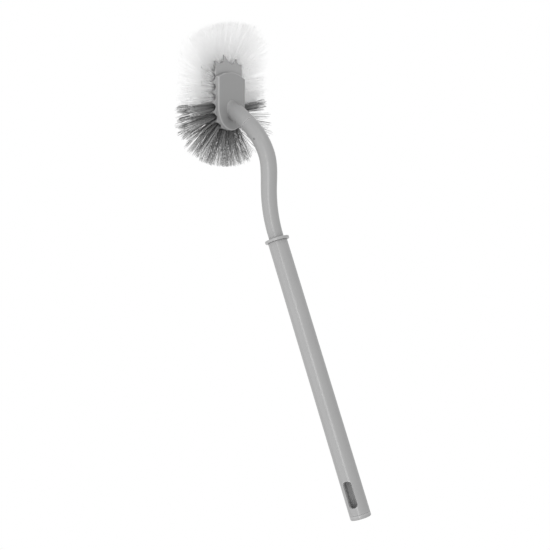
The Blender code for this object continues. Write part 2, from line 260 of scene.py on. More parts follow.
def times(tree, value, amount):
    return mathNode(tree, "MULTIPLY", value, amount)


def sumOf(tree, *values):
    total = values[0]
    for value in values[1:]:
        total = mathNode(tree, "ADD", total, value)
    return total


# a value that runs round 0.5, made to swing round 0
def swing(tree, value, amount):
    return times(tree, mathNode(tree, "SUBTRACT", value, 0.5), amount)


# a colour made lighter by a share, or darker where the share is below 0
def tinted(tree, color, share):
    scale = tree.nodes.new("ShaderNodeVectorMath")
    scale.operation = "SCALE"
    tree.links.new(color, scale.inputs[0])
    tree.links.new(mathNode(tree, "ADD", share, 1.0), scale.inputs["Scale"])
    return scale.outputs[0]


# the skin of a moulded plastic: faint clouds of tone, spark-eroded grain and fine rub marks, with
# edges painted lighter as rub wear and painted highlight, inner corners painted darker as painted
# shade, and a painted light that lifts the tone where the polish mask is set
skinPlan = {
    "cloudScale": 38.0, "cloudDetail": 3.0, "grainDetail": 2.0,
    "rubScale": 900.0, "rubDetail": 4.0, "rubCoarse": 0.7, "rubStretch": (1.0, 1.0, 0.06),
    "rubPower": 5.0, "patchGain": 1.2, "patchStart": 0.1,
    # the polish mask's tone is a painted light: how much lighter it paints the colour
    "grainTone": 0.10, "paintedLightTone": 0.19,
    "grainRough": 0.25, "rubSmooth": 0.25, "edgeSmooth": 0.12, "polishSmooth": 0.13,
    "grainHeight": 0.8, "cloudHeight": 1.2, "bump": 0.6, "ior": 1.49,
}


def mouldedSkin():
    group, start, end = newGroup(
        "mouldedSkin",
        [("Place", "NodeSocketVector", None), ("Color", "NodeSocketColor", None),
         ("Clouds", "NodeSocketFloat", 0.05), ("Grain Scale", "NodeSocketFloat", 2600.0),
         ("Roughness", "NodeSocketFloat", 0.45), ("Rub", "NodeSocketFloat", 0.1),
         ("Edge", "NodeSocketFloat", 0.0), ("Wear And Painted Light", "NodeSocketFloat", 0.1),
         ("Polish And Painted Light", "NodeSocketFloat", 0.0)],
        [("Color", "NodeSocketColor"), ("Roughness", "NodeSocketFloat"),
         ("Height", "NodeSocketFloat")])
    given = start.outputs
    place, polishAndPaintedLight = given["Place"], given["Polish And Painted Light"]
    clouds = noiseNode(group, place, skinPlan["cloudScale"], skinPlan["cloudDetail"])
    grain = noiseNode(group, place, given["Grain Scale"], skinPlan["grainDetail"])
    rub = noiseNode(group, stretchNode(group, place, skinPlan["rubStretch"]),
                    skinPlan["rubScale"], skinPlan["rubDetail"], skinPlan["rubCoarse"])
    rubMask = mathNode(group, "POWER", rub, skinPlan["rubPower"])
    patches = mathNode(group, "ADD", times(group, clouds, skinPlan["patchGain"]),
                       skinPlan["patchStart"], clamp=True)
    # edge mark, in patches: lighter above 0 as rub wear and painted highlight, darker in inner
    # corners as painted shade
    edge = times(group, given["Edge"], patches)
    # the polish mask also paints the colour lighter, a painted light
    share = sumOf(group, swing(group, clouds, given["Clouds"]),
                  swing(group, grain, skinPlan["grainTone"]), times(group, rubMask, given["Rub"]),
                  times(group, edge, given["Wear And Painted Light"]), times(group, polishAndPaintedLight, skinPlan["paintedLightTone"]))
    group.links.new(tinted(group, given["Color"], share), end.inputs["Color"])
    rough = sumOf(group, given["Roughness"], swing(group, grain, skinPlan["grainRough"]))
    for mask, key in ((rubMask, "rubSmooth"), (edge, "edgeSmooth"), (polishAndPaintedLight, "polishSmooth")):
        rough = mathNode(group, "SUBTRACT", rough, times(group, mask, skinPlan[key]))
    group.links.new(rough, end.inputs["Roughness"])
    height = sumOf(group, times(group, grain, skinPlan["grainHeight"]),
                   times(group, clouds, skinPlan["cloudHeight"]))
    group.links.new(height, end.inputs["Height"])
    return group


# the shade of one filament, from its root to its tip and from one filament to the next
shadePlan = {"tipPower": 1.4, "tipRough": 0.15, "ior": 1.53}


def filamentShade():
    group, start, end = newGroup(
        "filamentShade",
        [("Along", "NodeSocketFloat", 0.5), ("Tone", "NodeSocketFloat", 0.5),
         ("Root Color", "NodeSocketColor", None), ("Tip Color", "NodeSocketColor", None),
         ("Spread", "NodeSocketFloat", 0.2), ("Roughness", "NodeSocketFloat", 0.4)],
        [("Color", "NodeSocketColor"), ("Roughness", "NodeSocketFloat")])
    given = start.outputs
    blend = group.nodes.new("ShaderNodeMix")
    blend.data_type = "RGBA"
    group.links.new(mathNode(group, "POWER", given["Along"], shadePlan["tipPower"], clamp=True),
                    blend.inputs["Factor"])
    group.links.new(given["Root Color"], blend.inputs["A"])
    group.links.new(given["Tip Color"], blend.inputs["B"])
    share = swing(group, given["Tone"], given["Spread"])
    group.links.new(tinted(group, blend.outputs["Result"], share), end.inputs["Color"])
    rough = sumOf(group, given["Roughness"], times(group, given["Along"], shadePlan["tipRough"]))
    group.links.new(rough, end.inputs["Roughness"])
    return group


skinGroup = mouldedSkin()
filamentGroup = filamentShade()


def readAttribute(tree, name, socket):
    reader = tree.nodes.new("ShaderNodeAttribute")
    reader.attribute_name = name
    tree.links.new(reader.outputs["Fac"], socket)


def grey(tone):
    return (tone, tone, tone, 1)


def plasticMaterial(name):
    plan = finishPlan[name]
    material, tree, shader = newMaterial(name)
    skin = tree.nodes.new("ShaderNodeGroup")
    skin.node_tree = skinGroup
    tree.links.new(objectPlace(tree), skin.inputs["Place"])
    skin.inputs["Color"].default_value = grey(plan["tone"])
    for title, key in (("Clouds", "clouds"), ("Grain Scale", "grainScale"),
                       ("Roughness", "roughness"), ("Rub", "rub"), ("Wear And Painted Light", "wearAndPaintedLight")):
        skin.inputs[title].default_value = plan[key]
    readAttribute(tree, "wearAndPaintedLight", skin.inputs["Edge"])
    readAttribute(tree, "polishAndPaintedLight", skin.inputs["Polish And Painted Light"])
    bump = tree.nodes.new("ShaderNodeBump")
    bump.inputs["Distance"].default_value = plan["grainDepth"]
    bump.inputs["Strength"].default_value = skinPlan["bump"]
    tree.links.new(skin.outputs["Height"], bump.inputs["Height"])
    tree.links.new(skin.outputs["Color"], shader.inputs["Base Color"])
    tree.links.new(skin.outputs["Roughness"], shader.inputs["Roughness"])
    tree.links.new(bump.outputs["Normal"], shader.inputs["Normal"])
    shader.inputs["IOR"].default_value = skinPlan["ior"]
    shader.inputs["Specular IOR Level"].default_value = plan["gloss"]
    return material


def bristleMaterial(name):
    plan = finishPlan[name]
    material, tree, shader = newMaterial(name)
    shade = tree.nodes.new("ShaderNodeGroup")
    shade.node_tree = filamentGroup
    readAttribute(tree, "along", shade.inputs["Along"])
    readAttribute(tree, "tone", shade.inputs["Tone"])
    shade.inputs["Root Color"].default_value = grey(plan["root"])
    shade.inputs["Tip Color"].default_value = grey(plan["tip"])
    shade.inputs["Spread"].default_value = plan["spread"]
    shade.inputs["Roughness"].default_value = plan["roughness"]
    tree.links.new(shade.outputs["Color"], shader.inputs["Base Color"])
    tree.links.new(shade.outputs["Roughness"], shader.inputs["Roughness"])
    shader.inputs["IOR"].default_value = shadePlan["ior"]
    shader.inputs["Specular IOR Level"].default_value = plan["gloss"]
    through = tree.nodes.new("ShaderNodeBsdfTranslucent")
    tree.links.new(shade.outputs["Color"], through.inputs["Color"])
    mix = mixShaders(tree, shader, through)
    mix.inputs["Fac"].default_value = plan["through"]
    return material


# each plastic's edge amount paints its outer edges lighter, as rub wear and painted highlight, and
# its inner corners darker, as painted shade
finishPlan = {
    "handlePlastic": {"tone": 0.264, "clouds": 0.05, "grainScale": 2600.0, "grainDepth": 0.00002,
                      "roughness": 0.33, "rub": 0.10, "wearAndPaintedLight": 0.30, "gloss": 0.5},
    "headPlastic": {"tone": 0.226, "clouds": 0.06, "grainScale": 3000.0, "grainDepth": 0.00003,
                    "roughness": 0.42, "rub": 0.06, "wearAndPaintedLight": 0.45, "gloss": 0.5},
    "blockPlastic": {"tone": 0.275, "clouds": 0.06, "grainScale": 3000.0, "grainDepth": 0.00003,
                     "roughness": 0.46, "rub": 0.04, "wearAndPaintedLight": 0.20, "gloss": 0.5},
    "whiteBristle": {"root": 0.99, "tip": 0.99, "spread": 0.02, "roughness": 0.32, "gloss": 0.4,
                     "through": 0.82},
    "darkBristle": {"root": 0.100, "tip": 0.45, "spread": 1.8, "roughness": 0.34, "gloss": 0.5,
                    "through": 0.12},
}
handlePlastic = plasticMaterial("handlePlastic")
headPlastic = plasticMaterial("headPlastic")
blockPlastic = plasticMaterial("blockPlastic")
whiteBristle = bristleMaterial("whiteBristle")
darkBristle = bristleMaterial("darkBristle")
print("materials made")

# handle tube with its hanging slot. The slot's two sides are keyed by the sign of X. Each stop of
# its lip says how far out from the wall's face it lies and how much wider the slot is there
gripPlan = {
    "top": 0.0154, "bottom": -0.2049, "endRadius": 0.0083, "neckRadius": 0.0078, "wall": 0.0020,
    "taperTop": 0.0189, "taperBottom": -0.2050, "sides": 96, "edge": 0.00018,
    "slotLength": 0.0208, "slotBlunt": 0.75, "slotMiddle": -0.0009, "slotSegments": 32,
    "slotSides": {1: {"width": 0.0060, "turn": 3.0}, -1: {"width": 0.0070, "turn": 9.0}},
    "lip": ((-0.0060, 0.0), (-0.00075, 0.0), (-0.00035, 0.00010), (0.0, 0.00042), (0.0006, 0.0011),
            (0.0032, 0.0012)),
    "ringFrom": -0.0165, "ringStep": 0.0015,
}


def gripRadius(height):
    share = (height - gripPlan["taperBottom"]) / (gripPlan["taperTop"] - gripPlan["taperBottom"])
    return gripPlan["neckRadius"] + share * (gripPlan["endRadius"] - gripPlan["neckRadius"])


# one half of the slot, from inside the bore out past the wall: a round pulled long, then extruded
def slotHalf(bm, side):
    half = gripPlan["slotSides"][side]["width"] / 2
    blunt = gripPlan["slotBlunt"]
    reach = gripPlan["slotLength"] / 2 - half * blunt
    segments = gripPlan["slotSegments"]
    turn = Matrix.Rotation(math.pi / 2, 4, "Y") @ Matrix.Rotation(math.pi / segments, 4, "Z")
    verts = bmesh.ops.create_circle(bm, cap_ends=True, segments=segments, matrix=turn,
                                    radius=half)["verts"]
    for vert in verts:
        vert.co.z = vert.co.z * blunt + math.copysign(reach, vert.co.z)
    face = verts[0].link_faces[0]
    faceRadius = gripRadius(0)
    before = half
    for number, (depth, grow) in enumerate(gripPlan["lip"]):
        if number:
            face = bmesh.ops.extrude_discrete_faces(bm, faces=[face])["faces"][0]
        wider = (half + grow) / before
        before = half + grow
        for vert in face.verts:
            across = vert.co.y * wider
            ends = math.copysign(reach, vert.co.z)
            curve = math.sqrt(faceRadius ** 2 - across ** 2)
            vert.co = (side * (curve + depth), across, ends + (vert.co.z - ends) * wider)


def slotCutters():
    halves = []
    for side in (1, -1):
        bm = bmesh.new()
        slotHalf(bm, side)
        edges = [edge for edge in bm.edges if edge.is_boundary]
        bmesh.ops.contextual_create(bm, geom=edges)
        bm.transform(Matrix.Translation((0, 0, gripPlan["slotMiddle"]))
                     @ Matrix.Rotation(math.radians(-gripPlan["slotSides"][side]["turn"]), 4, "Z"))
        halves.append(meshFrom("slotHalf", bm))
    return halves


def makeGrip():
    low, high, edge = gripPlan["bottom"], gripPlan["top"], gripPlan["edge"]
    lowOut, highOut = gripRadius(low), gripRadius(high)
    profile = roundCorner(lowOut - edge, low + edge, edge, -90)
    ring = gripPlan["ringFrom"]
    while ring < high - gripPlan["ringStep"]:
        profile.append((gripRadius(ring), ring))
        ring += gripPlan["ringStep"]
    profile += roundCorner(highOut - edge, high - edge, edge, 0)
    profile += [(highOut - gripPlan["wall"], high), (lowOut - gripPlan["wall"], low)]
    bm = bmesh.new()
    turnProfile(bm, profile, gripPlan["sides"], closed=True)
    piece = finishPiece("gripTube", bm, "handle", ["grip_tube"], handlePlastic)
    for half in slotCutters():
        carve(piece, half, "slotCut")
    return dressPiece(piece, "handle", ["grip_tube"], handlePlastic)


makeGrip()
print("grip tube made")

# cap that closes the tube, slightly dished, with a small sunk gate mark in its middle. Each ring
# of the dish says how far in from the rim it lies and how much of the dish's depth it has
capPlan = {
    "top": 0.0189, "thick": 0.0034, "round": 0.0011, "plug": 0.0036, "plugLead": 0.0005,
    "jointEdge": 0.00012, "dish": 0.00045, "dishRings": ((0.0026, 0.0), (0.0032, 0.7), (0.0038, 1.0)),
    "gate": {"radius": 0.0009, "foot": 0.0008, "deep": 0.0002},
    "gap": 0.0003, "sides": 96,
}


def makeCap():
    top, size, edge = capPlan["top"], capPlan["round"], capPlan["jointEdge"]
    low = top - capPlan["thick"]
    foot = low - capPlan["plug"]
    rim = gripRadius(top)
    plug = rim - gripPlan["wall"] - capPlan["gap"]
    lead = capPlan["plugLead"]
    profile = [(0, foot), (plug - lead, foot), (plug, foot + lead), (plug, low), (rim - edge, low),
               (rim, low + edge)]
    profile += roundCorner(rim - size, top - size, size, 0, 8)
    profile += [(rim - inward, top - share * capPlan["dish"])
                for inward, share in capPlan["dishRings"]]
    gate = capPlan["gate"]
    floor = top - capPlan["dish"]
    profile += [(gate["radius"], floor), (gate["foot"], floor - gate["deep"]),
                (0, floor - gate["deep"])]
    bm = bmesh.new()
    turnProfile(bm, profile, capPlan["sides"])
    return finishPiece("endCap", bm, "handle", ["end_cap"], handlePlastic)


makeCap()
print("end cap made")

# neck: spigot, collar and bowed rod down to the seam, where the head's stub begins
neckPlan = {
    "collarTop": -0.2050, "collarThick": 0.0022, "collarRadius": 0.0098, "collarEdge": 0.0004,
    "spigotLength": 0.0240, "spigotLead": 0.0018, "spigotTip": 0.85, "spigotGap": 0.0003,
    "rootRadius": 0.0060, "rootLength": 0.0030, "midRadius": 0.0066, "seamRadius": 0.0067,
    "rootFillet": 0.0009, "filletClear": 1.2, "rodSteps": 26,
    "bow": 0.0139, "bowDrop": 0.0660, "swingOut": 0.475, "swingDown": 0.60, "swingLean": 20.0,
    "seamOffset": 0.0060, "seamDrop": 0.0944, "seamLean": 29.0, "seamEdge": 0.00020,
    "socketRadius": 0.0039, "socketDepth": 0.0150, "sides": 72,
    "mark": {"place": (-0.00650, 0.0108, -0.2868), "outer": 0.001125, "inner": 0.000675,
             "deep": 0.0018, "sides": 32},
}
# the stub's foot keeps this share of the stub's gloss, and of the painted light that lifts its colour
stubPlan = {
    "offset": -0.0051, "drop": 0.1103, "lean": 46.0, "radius": 0.0069, "belowArc": 0.0020,
    "spigotRadius": 0.0036, "spigotLength": 0.0140, "gap": 0.00022, "fillet": 0.0012,
    "footPolishAndPaintedLight": 0.5, "rodSteps": 40, "filletSteps": 5, "startTurn": 0.35, "sink": 0.0001,
    "rootDeep": 0.0015,
}
collarBottom = neckPlan["collarTop"] - neckPlan["collarThick"]
seamCentre = Vector((0, neckPlan["seamOffset"], collarBottom - neckPlan["seamDrop"]))
stubFoot = Vector((0, stubPlan["offset"], collarBottom - stubPlan["drop"]))


# direction of a rod that runs down and leans towards -Y
def downward(lean):
    turn = math.radians(lean)
    return Vector((0, -math.sin(turn), -math.cos(turn)))


def rodLine(knots, steps):
    points = []
    for (start, leanA), (end, leanB) in zip(knots, knots[1:]):
        reach = (end - start).length / 3
        handles = (start, start + reach * downward(leanA), end - reach * downward(leanB), end)
        points += list(interpolate_bezier(*handles, steps))[:-1]
    return points + [knots[-1][0]]


# rings along a line, with the first and last turned to the given axes
def lineStops(points, startAxis, endAxis, radiusAt):
    stops = []
    last = len(points) - 1
    for number, point in enumerate(points):
        axis = points[min(number + 1, last)] - points[max(number - 1, 0)]
        if number == 0:
            axis = startAxis
        if number == last:
            axis = endAxis
        stops.append((point, axis, radiusAt(number / last)))
    return stops


# how far a rounding has come away from its start, and how far it is from its end, step by step
def quarterTurn(steps):
    turns = [math.radians(90 * step / steps) for step in range(steps + 1)]
    return [(1 - math.cos(turn), 1 - math.sin(turn)) for turn in turns]


def neckRadiusAt(share):
    if share < 0.5:
        return neckPlan["rootRadius"] + (neckPlan["midRadius"] - neckPlan["rootRadius"]) * share * 2
    step = neckPlan["seamRadius"] - neckPlan["midRadius"]
    return neckPlan["midRadius"] + step * (share - 0.5) * 2


def makeNeck():
    top, edge, wide = neckPlan["collarTop"], neckPlan["collarEdge"], neckPlan["collarRadius"]
    spigot = gripRadius(top) - gripPlan["wall"] - neckPlan["spigotGap"]
    spigotTop = top + neckPlan["spigotLength"]
    fillet = neckPlan["rootFillet"]
    upright = [(spigotTop, spigot * neckPlan["spigotTip"]),
               (spigotTop - neckPlan["spigotLead"], spigot), (top, spigot)]
    for flat, rise in quarterTurn(3):
        upright.append((top - edge * flat, wide - edge * rise))
    for flat, rise in quarterTurn(3):
        upright.append((collarBottom + edge * rise, wide - edge * flat))
    for flat, rise in quarterTurn(4):
        upright.append((collarBottom - fillet * flat, neckPlan["rootRadius"] + fillet * rise))
    down = downward(0)
    stops = [(Vector((0, 0, height)), down, radius) for height, radius in upright]
    bowTop = Vector((0, neckPlan["bow"], collarBottom - neckPlan["bowDrop"]))
    bowStart = Vector((0, neckPlan["swingOut"] * neckPlan["bow"],
                       collarBottom - neckPlan["swingDown"] * neckPlan["bowDrop"]))
    knots = [(Vector((0, 0, collarBottom - neckPlan["rootLength"])), 0.0),
             (bowStart, -neckPlan["swingLean"]), (bowTop, 0.0),
             (seamCentre, neckPlan["seamLean"])]
    seamAxis = downward(neckPlan["seamLean"])
    rod = lineStops(rodLine(knots, neckPlan["rodSteps"]), down, seamAxis, neckRadiusAt)
    clear = collarBottom - neckPlan["filletClear"] * fillet
    stops += [stop for stop in rod[:-1] if stop[0].z < clear]
    bevel = neckPlan["seamEdge"]
    stops.append((seamCentre - bevel * seamAxis, seamAxis, neckPlan["seamRadius"]))
    stops.append((seamCentre, seamAxis, neckPlan["seamRadius"] - bevel))
    stops.append((seamCentre, seamAxis, neckPlan["socketRadius"] + bevel))
    stops.append((seamCentre - bevel * seamAxis, seamAxis, neckPlan["socketRadius"]))
    deep = seamCentre - neckPlan["socketDepth"] * seamAxis
    stops.append((deep, seamAxis, neckPlan["socketRadius"]))
    bm = bmesh.new()
    skinRings(bm, stops, neckPlan["sides"])
    piece = finishPiece("neckRod", bm, "handle", ["neck"], handlePlastic)
    carve(piece, mouldMark(), "mouldMark")
    return dressPiece(piece, "handle", ["neck"], handlePlastic)


# small sunk round that an ejector pin left on the side of the neck
def mouldMark():
    mark = neckPlan["mark"]
    bm = bmesh.new()
    place = Matrix.Translation(mark["place"]) @ Matrix.Rotation(math.pi / 2, 4, "Y")
    bmesh.ops.create_cone(bm, cap_ends=True, segments=mark["sides"], radius1=mark["outer"],
                          radius2=mark["inner"], depth=mark["deep"], matrix=place)
    return meshFrom("mouldMark", bm)


makeNeck()
print("neck made")

# head, modelled flat: X across, +Y to the tip, +Z out of the cover's back
headPlan = {
    "tilt": 20.7, "radius": 0.0180, "coverSide": 0.0238, "coverArch": 0.0043,
    "coverThick": 0.0030, "coverBevel": 0.0010, "rimSteps": 4, "roundSteps": 48,
    "archSteps": 24, "flatArea": 0.0004, "flatFrame": 0.0002,
    "pegRadius": 0.0022, "pegLength": 0.0050, "pegGap": 0.0003, "pegHeights": (0.0020, 0.0190),
    "pegSides": 32,
}
headTurn = Euler((math.radians(headPlan["tilt"]) - math.pi / 2, 0, 0)).to_matrix().to_4x4()
headMiddle = stubFoot - headTurn @ Vector((0, -stubPlan["belowArc"], 0))
headPlace = Matrix.Translation(headMiddle) @ headTurn


def spinPoint(bm, vert, centre, angle, steps):
    made = bmesh.ops.spin(bm, geom=[vert], cent=centre, axis=(0, 0, 1), angle=angle, steps=steps,
                          use_duplicate=False)
    return [item for item in made["geom_last"] if isinstance(item, bmesh.types.BMVert)][0]


# half a round below, straight sides and a shallow arch above
def longRound(bm, side, rise, level, archSteps):
    radius = headPlan["radius"]
    first = bm.verts.new((-radius, 0, level))
    last = spinPoint(bm, first, (0, 0, 0), math.pi, headPlan["roundSteps"])
    corner = bmesh.ops.extrude_vert_indiv(bm, verts=[last])["verts"][0]
    corner.co.y = side
    bend = (radius ** 2 + rise ** 2) / (2 * rise)
    last = spinPoint(bm, corner, (0, side + rise - bend, 0), 2 * math.asin(radius / bend), archSteps)
    bm.edges.new((last, first))
    return bmesh.ops.contextual_create(bm, geom=list(bm.edges))["faces"][0]


def thicken(bm, face, depth):
    made = bmesh.ops.extrude_face_region(bm, geom=[face])["geom"]
    verts = [item for item in made if isinstance(item, bmesh.types.BMVert)]
    bmesh.ops.translate(bm, verts=verts, vec=(0, 0, depth))
    return [item for item in made if isinstance(item, bmesh.types.BMFace)][0]


# a thin frame inside each broad flat face, so that soft shading stays at its rim
def frameFlats(bm):
    bm.normal_update()
    for face in [face for face in bm.faces if face.calc_area() > headPlan["flatArea"]]:
        bmesh.ops.inset_region(bm, faces=[face], thickness=headPlan["flatFrame"])


def addPeg(bm, height, radius, top, bottom):
    place = Matrix.Translation((0, height, (top + bottom) / 2))
    bmesh.ops.create_cone(bm, cap_ends=True, segments=headPlan["pegSides"], radius1=radius,
                          radius2=radius, depth=top - bottom, matrix=place)


# the stub is as polished as the neck at the seam, and less so towards its foot; the same mask is
# a painted light that lifts the stub's colour, most at the seam and least at its foot
def makeCover():
    bm = bmesh.new()
    thick = headPlan["coverThick"]
    low = longRound(bm, headPlan["coverSide"], headPlan["coverArch"], -thick,
                    headPlan["archSteps"])
    back = thicken(bm, low, thick)
    roundEdges(bm, list(back.edges), headPlan["coverBevel"], headPlan["rimSteps"])
    frameFlats(bm)
    for height in headPlan["pegHeights"]:
        addPeg(bm, height, headPlan["pegRadius"], -thick / 2, -thick - headPlan["pegLength"])
    bm.transform(headPlace)
    polishAndPaintedLight = bm.verts.layers.float.new("polishAndPaintedLight")
    plate = set(bm.verts)
    skinRings(bm, stubStops(), neckPlan["sides"])
    reach = (stubFoot - seamCentre).length
    for vert in set(bm.verts) - plate:
        share = (vert.co - stubFoot).length / reach
        vert[polishAndPaintedLight] = min(max(share, stubPlan["footPolishAndPaintedLight"]), 1)
    return finishPiece("headCover", bm, "head", ["head_cover"], headPlastic)


# rings of the stub: spigot, seam shoulder, elbow and a small fillet on the cover
def stubStops():
    seamAxis = downward(neckPlan["seamLean"])
    footAxis = downward(stubPlan["lean"])
    inward = headPlace.to_3x3() @ Vector((0, 0, -1))
    seam = seamCentre + stubPlan["gap"] * seamAxis
    tip = seamCentre - stubPlan["spigotLength"] * seamAxis
    spigot, bevel = stubPlan["spigotRadius"], neckPlan["seamEdge"]
    stops = [
        (tip, seamAxis, spigot * neckPlan["spigotTip"]),
        (tip + neckPlan["spigotLead"] * seamAxis, seamAxis, spigot),
        (seam, seamAxis, spigot),
        (seam, seamAxis, neckPlan["seamRadius"] - bevel),
        (seam + bevel * seamAxis, seamAxis, neckPlan["seamRadius"]),
    ]
    fillet = stubPlan["fillet"]
    cosine = footAxis.dot(inward)
    clear = stubPlan["radius"] * math.sin(footAxis.angle(inward)) + fillet
    line = rodLine([(seamCentre, neckPlan["seamLean"]), (stubFoot, stubPlan["lean"])],
                   stubPlan["rodSteps"])
    line = [point for point in line if (point - seam).dot(seamAxis) > 2 * bevel
            and (stubFoot - point).dot(inward) > clear]
    grow = stubPlan["radius"] - neckPlan["seamRadius"]
    rod = lineStops(line, seamAxis, footAxis, lambda share: neckPlan["seamRadius"] + grow * share)
    stops += rod
    steps, start = stubPlan["filletSteps"], stubPlan["startTurn"]
    for step, (flat, rise) in enumerate(quarterTurn(steps)):
        share = step / steps
        above = fillet * rise - stubPlan["sink"] * share
        axis = footAxis.lerp(inward, start + (1 - start) * share)
        stops.append((stubFoot - footAxis * above / cosine, axis, stubPlan["radius"] + fillet * flat))
    stops.append((stubFoot + footAxis * stubPlan["rootDeep"], inward, stubPlan["radius"]))
    return stops


makeCover()
print("cover and stub made")

# tuft stations round the rim of the block: numbered from the round end to the tip, below 0 on
# the -X side, at these shares of the way round. The last one is the tip itself
stationPlan = {
    "shares": (0.05, 0.15, 0.25, 0.35, 0.45, 0.55, 0.65, 0.735, 0.836, 0.918, 1.0),
    "darkPairs": 4, "fanBottom": -0.0025, "fanTop": 0.0200,
    "rowDepths": (0.0032, 0.0106), "blockSide": 0.0335, "blockArch": 0.0018,
}


def rimPoint(walked):
    radius, side = headPlan["radius"], stationPlan["blockSide"]
    quarter = math.pi / 2 * radius
    half = quarter + side + radius
    if walked < quarter:
        turn = walked / radius - math.pi / 2
        return radius * math.cos(turn), radius * math.sin(turn)
    if walked < quarter + side:
        return radius, walked - quarter
    across = half - walked
    return across, side + stationPlan["blockArch"] * (1 - (across / radius) ** 2)


def station(number):
    half = math.pi / 2 * headPlan["radius"] + stationPlan["blockSide"] + headPlan["radius"]
    x, y = rimPoint(stationPlan["shares"][abs(number) - 1] * half)
    place = Vector((math.copysign(x, number), y, 0))
    middle = Vector((0, min(max(y, stationPlan["fanBottom"]), stationPlan["fanTop"]), 0))
    return place, (place - middle).normalized()


lastStation = len(stationPlan["shares"])
stationNumbers = list(range(1 - lastStation, 0)) + list(range(1, lastStation + 1))


def rowDepth(row):
    return -headPlan["coverThick"] - blockPlan["gap"] - stationPlan["rowDepths"][row]


# block that holds the tufts
blockPlan = {
    "thick": 0.0150, "corner": 0.0025, "edge": 0.0006, "gap": 0.0003,
    "holeRadius": 0.0027, "holeDepth": 0.0040, "mouthRadius": 0.0031, "mouthDepth": 0.0008,
    # the mouth's ring lies just past the block's side, so that the cut leaves no slivers there
    "mouthPast": 0.00002, "mouthClear": 0.0012,
    "holeSides": 24, "archSteps": 9, "cornerSteps": 6, "edgeSteps": 2, "rimTurn": 1.0,
    # pointed cusps between the tufts at the tip: place, half width at the foot, reach out, lean
    "cusps": (
        {"across": -0.0163, "width": 0.0042, "reach": 0.0022, "lean": -0.0016, "power": 1.4},
        {"across": -0.0030, "width": 0.0082, "reach": 0.0064, "lean": -0.0042, "power": 2.6},
        {"across": 0.0094, "width": 0.0064, "reach": 0.0050, "lean": 0.0006, "power": 2.3},
        {"across": 0.0168, "width": 0.0038, "reach": 0.0022, "lean": 0.0003, "power": 1.3},
    ),
    "crownFoot": 0.0040, "crownHalf": 0.0172, "crownDeep": 0.0028, "crownSteps": (96, 8),
    "crownSink": 0.00004, "crownThin": 0.45, "crownBend": 1.5,
}


def addHole(bm, place, direction, depth):
    across = Vector((0, 0, 1)).cross(direction)
    turn = Matrix((across, Vector((0, 0, 1)), direction)).transposed().to_4x4()
    mouth, hole = blockPlan["mouthRadius"], blockPlan["holeRadius"]
    steps = ((blockPlan["holeDepth"], blockPlan["mouthDepth"], hole, hole),
             (blockPlan["mouthDepth"], -blockPlan["mouthPast"], hole, mouth),
             (-blockPlan["mouthPast"], -blockPlan["mouthClear"], mouth, mouth))
    made = []
    for deep, shallow, inner, outer in steps:
        centre = place - direction * (deep + shallow) / 2 + Vector((0, 0, depth))
        made += bmesh.ops.create_cone(bm, cap_ends=False, segments=blockPlan["holeSides"],
                                      radius1=inner, radius2=outer, depth=deep - shallow,
                                      matrix=Matrix.Translation(centre) @ turn)["verts"]
    bmesh.ops.remove_doubles(bm, verts=made, dist=mergeDistance)


def holeCutter():
    bm = bmesh.new()
    for number in stationNumbers:
        place, direction = station(number)
        for row in range(2):
            addHole(bm, place, direction, rowDepth(row))
    bmesh.ops.holes_fill(bm, edges=[edge for edge in bm.edges if edge.is_boundary],
                         sides=blockPlan["holeSides"])
    gap = headPlan["pegGap"]
    for height in headPlan["pegHeights"]:
        addPeg(bm, height, headPlan["pegRadius"] + gap, 0.0,
               -headPlan["coverThick"] - headPlan["pegLength"] - gap)
    return meshFrom("holeCutter", bm)


# the scalloped wall between the tufts at the tip: a strip drawn up into thin curved cusps
def addCrown(bm, top):
    foot, half, deep = (blockPlan[key] for key in ("crownFoot", "crownHalf", "crownDeep"))
    long, high = blockPlan["crownSteps"]
    made = bmesh.ops.create_grid(bm, x_segments=long, y_segments=high, size=0.5)["verts"]
    tallest = max(cusp["reach"] for cusp in blockPlan["cusps"])
    strip = {face for vert in made for face in vert.link_faces}
    for vert in made:
        across, share = 2 * vert.co.x * half, vert.co.y + 0.5
        edge = stationPlan["blockSide"] + stationPlan["blockArch"] * (1 - (across / half) ** 2)
        rise = shift = 0
        for cusp in blockPlan["cusps"]:
            near = max(0, 1 - abs(across - cusp["across"]) / cusp["width"]) ** cusp["power"]
            rise += cusp["reach"] * near
            shift += cusp["lean"] * near * share ** blockPlan["crownBend"]
        start = stationPlan["blockSide"] - foot
        vert.co = (across + shift, start + share * (edge - start + rise),
                   top - blockPlan["crownSink"])
    made = bmesh.ops.extrude_face_region(bm, geom=list(strip))["geom"]
    for vert in made:
        if isinstance(vert, bmesh.types.BMVert):
            above = max(0, vert.co.y - stationPlan["blockSide"]) / tallest
            vert.co.z -= deep * (1 - blockPlan["crownThin"] * above)


def edgeRise(edge):
    return abs(edge.verts[0].co.z - edge.verts[1].co.z)


